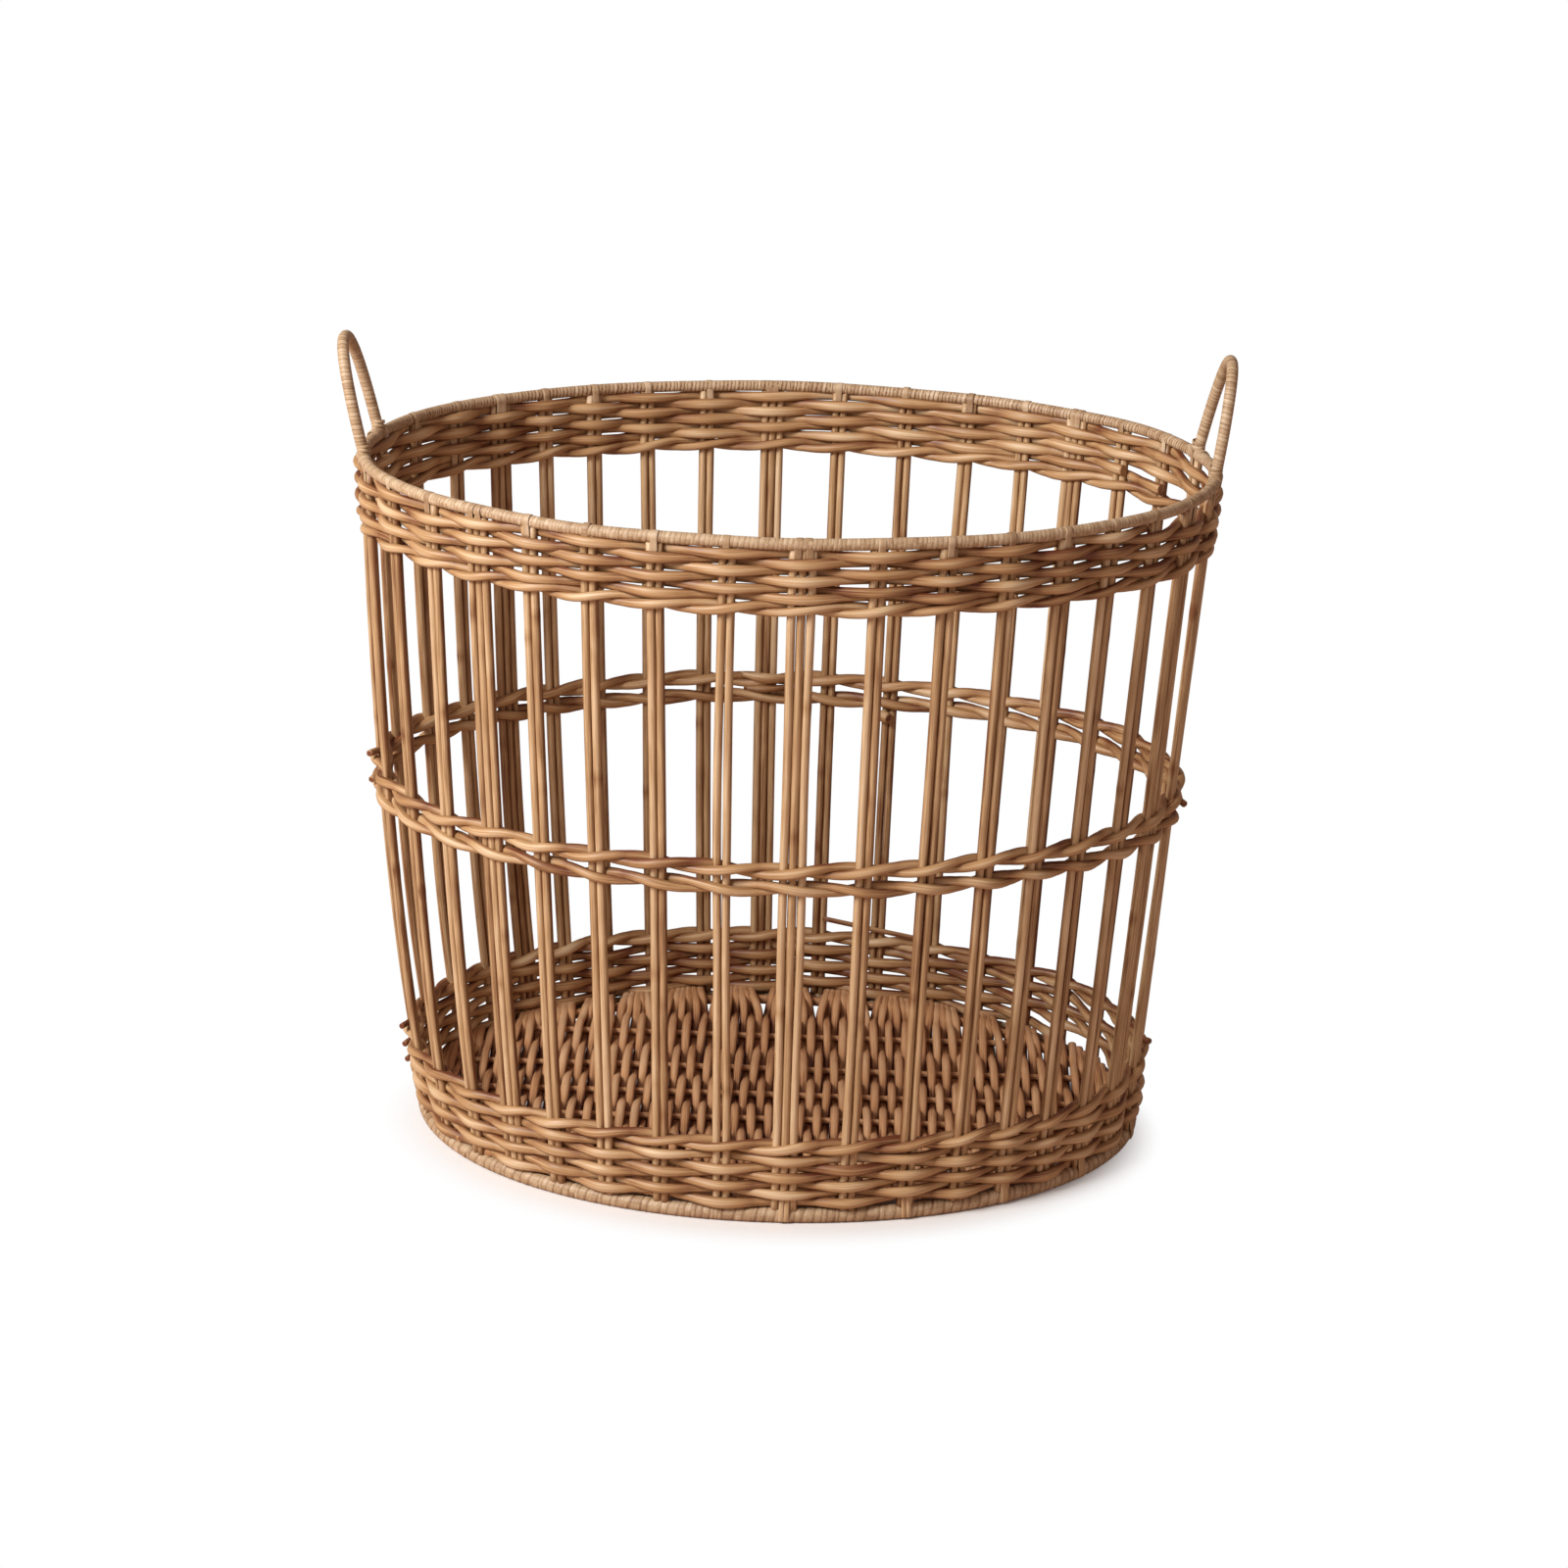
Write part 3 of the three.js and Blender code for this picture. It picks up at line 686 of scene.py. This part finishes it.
foot_places = around(FOOT_RINGS)
foot_path = wall_point(foot_places, FOOT_MIDDLE)
foot = winding(foot_path, outward_at(foot_places, FOOT_MIDDLE), FOOT_MIDDLE, 21, True, 0.5 * MM,
               FOOT_PEEL_WIDTH, sides=20, pale=0.52, squash=FOOT_HOOP_WIDTH / FOOT_HOOP_HEIGHT,
               power=0.9, uneven=0.6)
add_piece("foot_binding", [foot], PEEL_LOOK, ["foot_hoop"])


# Strips over the rim and pared ends on the foot

STRIP_RINGS = 44
RIM_STRIP_WIDTH = 4.4 * MM
RIM_STRIP_THICKNESS = 0.5 * MM
RIM_STRIP_GAP = 0.1 * MM
RIM_STRIP_NECK = RIM_HEIGHT - 5 * MM
RIM_STRIP_NECK_OUT = 3.1 * MM
RIM_STRIP_END = TOP_ROW - 3.5 * MM
RIM_STRIP_END_OUT = 3.0 * MM
# The strip lies on the rim hoop from this angle below its middle on one side to the other
RIM_STRIP_WRAP = 0.5
RIM_STRIP_STEPS = 22
# Where the strips lie beside a stake's middle and how they slant, in stakes
TRIPLE_SPOTS = [(-0.08, 0.04), (0.08, -0.04)]
STRIP_STRAY = 0.03
PARED_WIDTH = 3.3 * MM
PARED_THICKNESS = 1.3 * MM
PARED_HEIGHTS = (BOTTOM_ROW + 3 * MM, FOOT_HOOP_HEIGHT + 2 * MM, 7 * MM, 4.5 * MM, 2.2 * MM)
PARED_OUTS = (2.9 * MM, 3.7 * MM, 4.7 * MM, 4.8 * MM, 4.4 * MM)
PARED_SPOTS = (-0.043, 0.043)
PARED_STRAY = 0.02
PARED_TONES = (0.4, 0.7)
# Stakes round the left end, which have no pared ends on the foot
STAKES_WITHOUT_ENDS = range(16, 26)


def strap(place, lean, heights, outs, width, thick, seed, tone):
    """A flat strip of cane laid along a line of heights and distances out from the wall. It leans
    evenly to one side. Its corners are softened twice: each point becomes half itself and a
    quarter of each neighbour."""
    t = np.linspace(0, 1, STRIP_RINGS)
    knots = np.linspace(0, 1, len(heights))
    lines = np.stack([np.interp(t, knots, values) for values in (heights, outs)])
    for _ in range(2):
        lines[:, 1:-1] = (lines[:, :-2] + 2 * lines[:, 1:-1] + lines[:, 2:]) / 4
    height, out = lines
    places = place + lean * t
    sideways = np.cross(UP, outward_at(places, height))
    return cane(wall_point(places, height, out), sideways, thick / 2, width / thick, seed=seed,
                tone=tone, power=0.8)


def over_rim(place, lean, seed):
    """A strip that comes up outside the wall, goes round over the rim hoop as cosine and sine and
    comes down inside it."""
    angle = np.linspace(-RIM_STRIP_WRAP, math.pi + RIM_STRIP_WRAP, RIM_STRIP_STEPS)
    reach = RIM_RADIUS + RIM_STRIP_GAP
    over = RIM_HEIGHT + reach * np.sin(angle)
    heights = [RIM_STRIP_END, RIM_STRIP_NECK, *over, RIM_STRIP_NECK, RIM_STRIP_END]
    outs = [RIM_STRIP_END_OUT, RIM_STRIP_NECK_OUT, *(reach * np.cos(angle)),
            -RIM_STRIP_NECK_OUT, -RIM_STRIP_END_OUT]
    return strap(place, lean, heights, outs, RIM_STRIP_WIDTH, RIM_STRIP_THICKNESS, seed,
                 0.4 + 0.1 * (seed % 3))


rim_straps, foot_straps = [], []
for number in range(STAKES):
    random = np.random.default_rng(700 + number)
    if number in TRIPLE_STAKES:
        spots = TRIPLE_SPOTS
    else:
        spots = [random.uniform(-STRIP_STRAY, STRIP_STRAY, 2)]
    for spot, slant in spots:
        rim_straps.append(over_rim(number + spot, slant, 300 + number))
    if number % 2 == 1 and number not in STAKES_WITHOUT_ENDS:
        for spot in PARED_SPOTS:
            slant = random.uniform(-PARED_STRAY, PARED_STRAY)
            tone = random.uniform(*PARED_TONES)
            foot_straps.append(strap(number + spot, slant, PARED_HEIGHTS, PARED_OUTS, PARED_WIDTH,
                                     PARED_THICKNESS, 400 + number, tone))
add_piece("rim_straps", rim_straps, PEEL_LOOK)
add_piece("foot_straps", foot_straps, STAKE_LOOK)


# Handles

HANDLE_WIDTH = 66 * MM
HANDLE_ROUNDNESS = 2.3
# Handles: side, its sign along X, height over the rim, lean out from it, and shift along Y
HANDLES = [("left", -1, 70 * MM, 12 * MM, 0 * MM), ("right", 1, 68.5 * MM, 7 * MM, 10 * MM)]
LEG_FOOT = RIM_HEIGHT + RIM_RADIUS - 1.2 * MM
ARCH_STEPS = 400
HANDLE_RINGS = 620
LASHING_RINGS = 32
LASHING_SIDES = 10
LASHING_FLATNESS = 2.8
# Lashings: where their turns lie along the rim and up the leg, how far they slant, and their size
RIM_TURNS = (-9 * MM, -6.4 * MM, -3.8 * MM, 3.8 * MM, 6.4 * MM, 9 * MM)
RIM_TURN_SLANT = 1.2 * MM
RIM_TURN_REACH = RIM_RADIUS + 0.3 * MM
RIM_TURN_RADIUS = 0.45 * MM
LEG_TURNS = (3.4 * MM, 5.6 * MM, 7.8 * MM)
LEG_TURN_SLANT = 0.8 * MM
LEG_TURN_REACH = HANDLE_RADIUS + 0.25 * MM
LEG_TURN_RADIUS = 0.4 * MM


def leg_x(y, end):
    """Distance along X of the rim's centreline at a distance along Y, from the oval's equation."""
    long, short = half_axes(RIM_HEIGHT)
    return end * long * math.sqrt(1 - (y / short) ** 2)


def handle_path(end, tall, lean, shift):
    """A squared arch: across goes as a cosine and rise as a sine, both to the power 2 / roundness.
    It stands on the rim and leans out from it as it rises. Its points are then spread evenly along
    its length."""
    near, far = (leg_x(shift + way * HANDLE_WIDTH / 2, end) for way in (-1, 1))
    top = end * (RIM_LENGTH / 2 + lean)
    angle = math.pi * (1 - np.linspace(0, 1, ARCH_STEPS))
    across = signed_power(np.cos(angle), 2 / HANDLE_ROUNDNESS)
    rise = np.abs(np.sin(angle)) ** (2 / HANDLE_ROUNDNESS)
    legs = near + (far - near) * (across + 1) / 2
    height = LEG_FOOT + rise * (RIM_HEIGHT + tall - LEG_FOOT)
    line = np.stack([legs + (top - legs) * rise, shift + across * HANDLE_WIDTH / 2, height], -1)
    lengths = run_lengths(line)
    even = np.linspace(0, lengths[-1], HANDLE_RINGS)
    return np.stack([np.interp(even, lengths, line[:, i]) for i in range(3)], -1)


def peel_ring(centre, axis, first, second, reach, slant, radius, seed, tone):
    """A closed ring of flat peel round an axis: it goes as cosine along the first direction and as
    sine along the second. slant is a place, a height and a phase: the ring lies at the place along
    the axis, and rises and falls there as a sine of that height."""
    angle = np.linspace(0, TURN, LASHING_RINGS, endpoint=False)
    place, height, phase = slant
    beside = place + height * np.sin(angle + phase)
    circle = first * np.cos(angle)[:, None] + second * np.sin(angle)[:, None]
    path = centre + circle * reach + axis * beside[:, None]
    return cane(path, axis, radius, LASHING_FLATNESS, LASHING_SIDES, closed=True, seed=seed,
                tone=tone, power=0.8)


def lashing(foot, end, seed):
    """Turns of peel that bind a leg to the rim: rings round the rim's section on both sides of the
    leg, and a collar of rings round the leg's foot."""
    along = unit(np.array([-foot[1] * (RIM_LENGTH / RIM_WIDTH) ** 2, foot[0], 0.0]))
    out = np.cross(along, UP)
    out = out * np.sign(out[0] * end)
    centre = np.array([foot[0], foot[1], RIM_HEIGHT])
    on_rim = [peel_ring(centre, along, out, UP, RIM_TURN_REACH, (place, RIM_TURN_SLANT, 0),
                        RIM_TURN_RADIUS, seed + k, 0.42 + 0.08 * (k % 3))
              for k, place in enumerate(RIM_TURNS)]
    on_leg = [peel_ring(centre, UP, along, out, LEG_TURN_REACH, (place, LEG_TURN_SLANT, k),
                        LEG_TURN_RADIUS, seed + len(RIM_TURNS) + k, 0.46 + 0.08 * (k % 2))
              for k, place in enumerate(LEG_TURNS)]
    return on_rim + on_leg


for side, end, *sizes in HANDLES:
    path = handle_path(end, *sizes)
    wound = winding(path, np.array([end, 0.0, 0.0]), HANDLE_RADIUS, 17 + end, False, 0.25 * MM)
    add_piece(f"{side}_handle_binding", [wound], PEEL_LOOK, [f"handle_{side}"])
    lashings = lashing(path[0], end, 800 + 20 * end) + lashing(path[-1], end, 810 + 20 * end)
    add_piece(f"{side}_handle_lashings", lashings, PEEL_LOOK)


# Base

BASE_RING_COUNT = 360
HOOP_INSET = 18.6 * MM
HOOP_RADIUS = 3.3 * MM
STICK_COUNT = 5
STICK_RINGS = 60
STICK_BEND = 0.3 * MM
STICK_BEND_PER_METRE = 19
BASE_CANE = 6.3 * MM
BASE_CANE_DEPTH = 0.65
BASE_PITCH = 5.5 * MM
# The canes end on the foot hoop, this far in from the wall's centreline
END_INSET = 2.5 * MM
END_HEIGHT = FOOT_HOOP_HEIGHT + BASE_CANE / 2
# The canes reach this far outside the hoop, and this much further at the right
REACH_OUTSIDE = 3 * MM
RIGHT_REACH = 7 * MM
COLUMN_STEP = 3 * MM
FEWEST_RINGS = 12
EDGE_TABLE_STEPS = 4001
COLUMN_SWING = 0.95 * (BASE_STICK + BASE_CANE * BASE_CANE_DEPTH) / 2
# Middle of a cane that lies on the hoop, pressed down on it
OVER_HOOP = BASE_HEIGHT + HOOP_RADIUS + BASE_CANE * BASE_CANE_DEPTH / 2 - 1.5 * MM
# How far before or past the hoop and the end a cane climbs, lands and draws in to its space
CLIMB_START = 20 * MM
CLIMB_END = 3 * MM
LANDING_START = 1 * MM
LANDING_END = 5 * MM
DRAW_START = 34 * MM
DRAW_SHARE = 0.34
COLUMN_LEAN = 0.35 * MM
COLUMN_SWAYS = (0.2 * MM, 0.7 * MM)
COLUMN_BENDS_PER_METRE = (20, 40)
COLUMN_SIZES = (0.94, 1.06)
COLUMN_TONES = (0.48, 0.76)
# Over a stick a cane is paler and thinner by these, and under it darker: painted light and shade
STICK_PAINTED_LIGHT_AND_SHADE = 0.12
OVER_THINNING = 0.06
UNDER_STICK_PAINTED_SHADE = 0.2


def base_edge(x, inset):
    """Distance along Y of the base's inset oval at a distance along X, read off a fine table."""
    places = np.linspace(0, STAKES, EDGE_TABLE_STEPS)
    points = wall_point(places, BASE_HEIGHT, -inset)
    upper = points[points[:, 1] >= 0]
    order = np.argsort(upper[:, 0])
    return np.interp(x, upper[order, 0], upper[order, 1])


def space_middles(way):
    """Distances along X of the middles of the spaces between stakes, on the back of the base where
    way is 1 and on its front where it is -1."""
    points = wall_point(np.arange(STAKES) + 0.5, BASE_HEIGHT, -HOOP_INSET)
    return np.sort(points[way * points[:, 1] > 0][:, 0])


hoop_places = around(BASE_RING_COUNT)
base_hoop = cane(wall_point(hoop_places, BASE_HEIGHT, -HOOP_INSET),
                 outward_at(hoop_places, BASE_HEIGHT), HOOP_RADIUS, closed=True, seed=500, tone=0.4)
add_piece("base_ring", [base_hoop], BASE_LOOK, ["base_hoop"])

stick_boxes = [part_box(f"base_stick_{k + 1}") for k in range(STICK_COUNT)]
stick_ys = [(low[1] + high[1]) / 2 for low, high in stick_boxes]
sticks = []
for k, (low, high) in enumerate(stick_boxes):
    x = np.linspace(low[0], high[0], STICK_RINGS)
    height = BASE_HEIGHT + STICK_BEND * np.sin(x * STICK_BEND_PER_METRE + k)
    path = np.stack([x, stick_ys[k] + 0 * x, height], -1)
    sticks.append(cane(path, UP, BASE_STICK / 2, seed=520 + k, tone=0.45))
add_piece("base_bars", sticks, BASE_LOOK,
          [f"base_stick_{k + 1}" for k in range(STICK_COUNT)])

back_spaces, front_spaces = (space_middles(way) for way in (1, -1))


def base_column(x, number):
    """One base cane along Y. Its height is a cosine that goes over one stick and under the next.
    Near each edge it rises over the hoop, draws in towards the middle of a space between stakes,
    and ends on the foot hoop. It sways as a sine, and leans beside its neighbours as a slower
    cosine. Where it goes under a stick it is darker with painted shade, most at its flanks, and a
    little wider, and over a stick it is paler, painted light."""
    edge = base_edge(abs(x), HOOP_INSET)
    wall = base_edge(abs(x), END_INSET)
    y = np.linspace(-wall, wall, max(int(2 * wall / COLUMN_STEP), FEWEST_RINGS))
    far = np.abs(y)
    ends = [2 * stick_ys[0] - stick_ys[1], *stick_ys, 2 * stick_ys[-1] - stick_ys[-2]]
    counted = np.interp(y, ends, np.arange(-1, STICK_COUNT + 1))
    wave = np.cos(math.pi * (counted + number))
    outer = smooth(edge - CLIMB_START, edge - CLIMB_END, far)
    inner = 1 - outer
    woven = BASE_HEIGHT + COLUMN_SWING * wave
    height = woven + (OVER_HOOP - woven) * outer
    height = height + (END_HEIGHT - height) * smooth(edge + LANDING_START, wall - LANDING_END, far)
    back, front = (spaces[np.argmin(np.abs(spaces - x))] for spaces in (back_spaces, front_spaces))
    draw = DRAW_SHARE * smooth(edge - DRAW_START, wall, far)
    random = np.random.default_rng(900 + number)
    sway = random.uniform(*COLUMN_SWAYS)
    bends = random.uniform(*COLUMN_BENDS_PER_METRE)
    sway = sway * np.sin(y * bends + random.uniform(0, TURN))
    lean = COLUMN_LEAN * np.cos(math.pi * (counted + number) / 2 + random.uniform(0, TURN))
    tone = random.uniform(*COLUMN_TONES) + STICK_PAINTED_LIGHT_AND_SHADE * wave * inner
    tone = tone - UNDER_STICK_PAINTED_SHADE * (1 - smooth(-0.5, 0.5, wave)) * inner
    # Painted shade on the flanks, deeper where the cane goes under a stick
    flank_shade = 0.4 + 0.5 * (1 - smooth(0.1, 1, wave)) * inner
    thick = 1 - OVER_THINNING * wave * inner
    radius = BASE_CANE / 2 * np.random.default_rng(1900 + number).uniform(*COLUMN_SIZES)
    path = np.stack([x + (np.where(y > 0, back, front) - x) * draw + sway + lean, y, height], -1)
    return cane(path, UP, radius * thick, BASE_CANE_DEPTH / thick, seed=600 + number, tone=tone,
                flank_shade=flank_shade)


base_reach = wall_point(0, BASE_HEIGHT, REACH_OUTSIDE - HOOP_INSET)[0]
column_xs = np.arange(-base_reach, base_reach + RIGHT_REACH, BASE_PITCH)
columns = [base_column(x, number) for number, x in enumerate(column_xs)]
add_piece("base_weave", columns, BASE_LOOK, ["base_weaver"])


# Floor, light and camera

FLOOR_REACH = 6.0
FLOOR_ROUGHNESS = 0.9
FLOOR_TO_CAMERA = "#f2f1ef"
FLOOR_TO_BASKET = "#c8aa98"
WHITE = "#ffffff"
# The glow starts and is full at these shares of the foot's oval, which is moved to the front
GLOW_START = 0.9
GLOW_FULL = 1.09
SHADOW_SHIFT = 0.13
WORLD_LIGHT = "#ffdbcc"
WORLD_STRENGTH = 0.28
LAMP_AIM = (0, 0, 0.25)
# Lamps: name, place, size and power in watts
LAMPS = [("key lamp", (-1.9, -1.4, 1.9), 1.0, 99), ("fill lamp", (1.8, -1.9, 1.2), 1.8, 4)]


def floor_material():
    """Near-white matt floor that keeps the basket's shadow and looks white to the camera further
    out. The glow is a share of what the camera sees: nothing under and before the basket, and full
    a step away from it, by a smooth step of the distance in foot ovals."""
    material = bpy.data.materials.new("floor")
    material.use_nodes = True
    tree = material.node_tree
    shader = tree.nodes["Principled BSDF"]
    seen = add_node(tree, "ShaderNodeLightPath", {}).outputs["Is Camera Ray"]
    colour = add_node(tree, "ShaderNodeMix", {
        "Factor": seen, "A": linear(FLOOR_TO_BASKET), "B": linear(FLOOR_TO_CAMERA)},
        data_type="RGBA")
    set_inputs(tree, shader, {
        "Base Color": colour.outputs["Result"], "Roughness": FLOOR_ROUGHNESS})
    place = add_node(tree, "ShaderNodeTexCoord", {}).outputs["Object"]
    ovals = add_node(tree, "ShaderNodeVectorMath", {
        0: place, 1: (2 / FOOT_LENGTH, 2 / FOOT_WIDTH, 0), 2: (0, SHADOW_SHIFT, 0)},
        operation="MULTIPLY_ADD")
    far = add_node(tree, "ShaderNodeVectorMath", {0: ovals.outputs["Vector"]}, operation="LENGTH")
    share = add_node(tree, "ShaderNodeMapRange", {
        "Value": far.outputs["Value"], "From Min": GLOW_START, "From Max": GLOW_FULL},
        interpolation_type="SMOOTHSTEP")
    glowing = add_node(tree, "ShaderNodeMath", {0: seen, 1: share.outputs["Result"]},
                       operation="MULTIPLY")
    glow = add_node(tree, "ShaderNodeEmission", {"Color": linear(WHITE)})
    mix = add_node(tree, "ShaderNodeMixShader", {
        "Fac": glowing.outputs[0], 1: shader.outputs["BSDF"], 2: glow.outputs["Emission"]})
    set_inputs(tree, tree.nodes["Material Output"], {"Surface": mix.outputs["Shader"]})
    return material


def add_floor():
    """A wide level square under the basket."""
    corners = [(x * FLOOR_REACH, y * FLOOR_REACH, 0)
               for x, y in ((-1, -1), (1, -1), (1, 1), (-1, 1))]
    mesh = bpy.data.meshes.new("floor")
    mesh.from_pydata(corners, [], [(0, 1, 2, 3)])
    mesh.materials.append(floor_material())
    floor = add_object("floor", mesh)


def add_world():
    """Soft warm light from all round, and white where the camera looks past the floor."""
    world = bpy.data.worlds.new("studio")
    bpy.context.scene.world = world
    world.use_nodes = True
    tree = world.node_tree
    seen = add_node(tree, "ShaderNodeLightPath", {}).outputs["Is Camera Ray"]
    colour = add_node(tree, "ShaderNodeMix", {
        "Factor": seen, "A": linear(WORLD_LIGHT), "B": linear(WHITE)}, data_type="RGBA")
    strength = add_node(tree, "ShaderNodeMapRange", {
        "Value": seen, "To Min": WORLD_STRENGTH, "To Max": 1.0})
    set_inputs(tree, tree.nodes["Background"], {
        "Color": colour.outputs["Result"], "Strength": strength.outputs["Result"]})


def add_lamp(name, place, size, power):
    """A square soft lamp that faces the middle of the basket."""
    lamp = bpy.data.lights.new(name, "AREA")
    lamp.shape = "SQUARE"
    lamp.size = size
    lamp.energy = power
    holder = add_object(name, lamp)
    holder.location = place
    holder.rotation_euler = (Vector(LAMP_AIM) - Vector(place)).to_track_quat("-Z", "Y").to_euler()


def add_camera():
    """A camera on a circle round the basket's middle: back by the distance, up by the rise, turned
    by the yaw and rolled about its own line of sight, each by cosine and sine of its angle."""
    forward = np.array([0, math.cos(CAMERA_RISE), -math.sin(CAMERA_RISE)])
    upward = np.array([0, math.sin(CAMERA_RISE), math.cos(CAMERA_RISE)])
    right = np.array([1.0, 0, 0])
    place = -CAMERA_DISTANCE * forward + [AIM_SIDE, 0, 0]
    cosine, sine = math.cos(CAMERA_YAW), math.sin(CAMERA_YAW)
    turn = np.array([[cosine, sine, 0], [-sine, cosine, 0], [0, 0, 1]])
    cosine, sine = math.cos(CAMERA_ROLL), math.sin(CAMERA_ROLL)
    axes = [turn @ (cosine * right + sine * upward), turn @ (cosine * upward - sine * right),
            turn @ -forward]
    camera = bpy.data.cameras.new("camera")
    camera.lens = LENS_MM
    camera.sensor_width = SENSOR_MM
    holder = add_object("camera", camera)
    matrix = np.eye(4)
    matrix[:3, :3] = np.stack(axes, -1)
    matrix[:3, 3] = turn @ place + [0, 0, AIM_HEIGHT]
    holder.matrix_world = Matrix(matrix.tolist())
    bpy.context.scene.camera = holder


add_floor()
add_world()
for lamp in LAMPS:
    add_lamp(*lamp)
add_camera()
bpy.context.scene.view_settings.view_transform = "Standard"
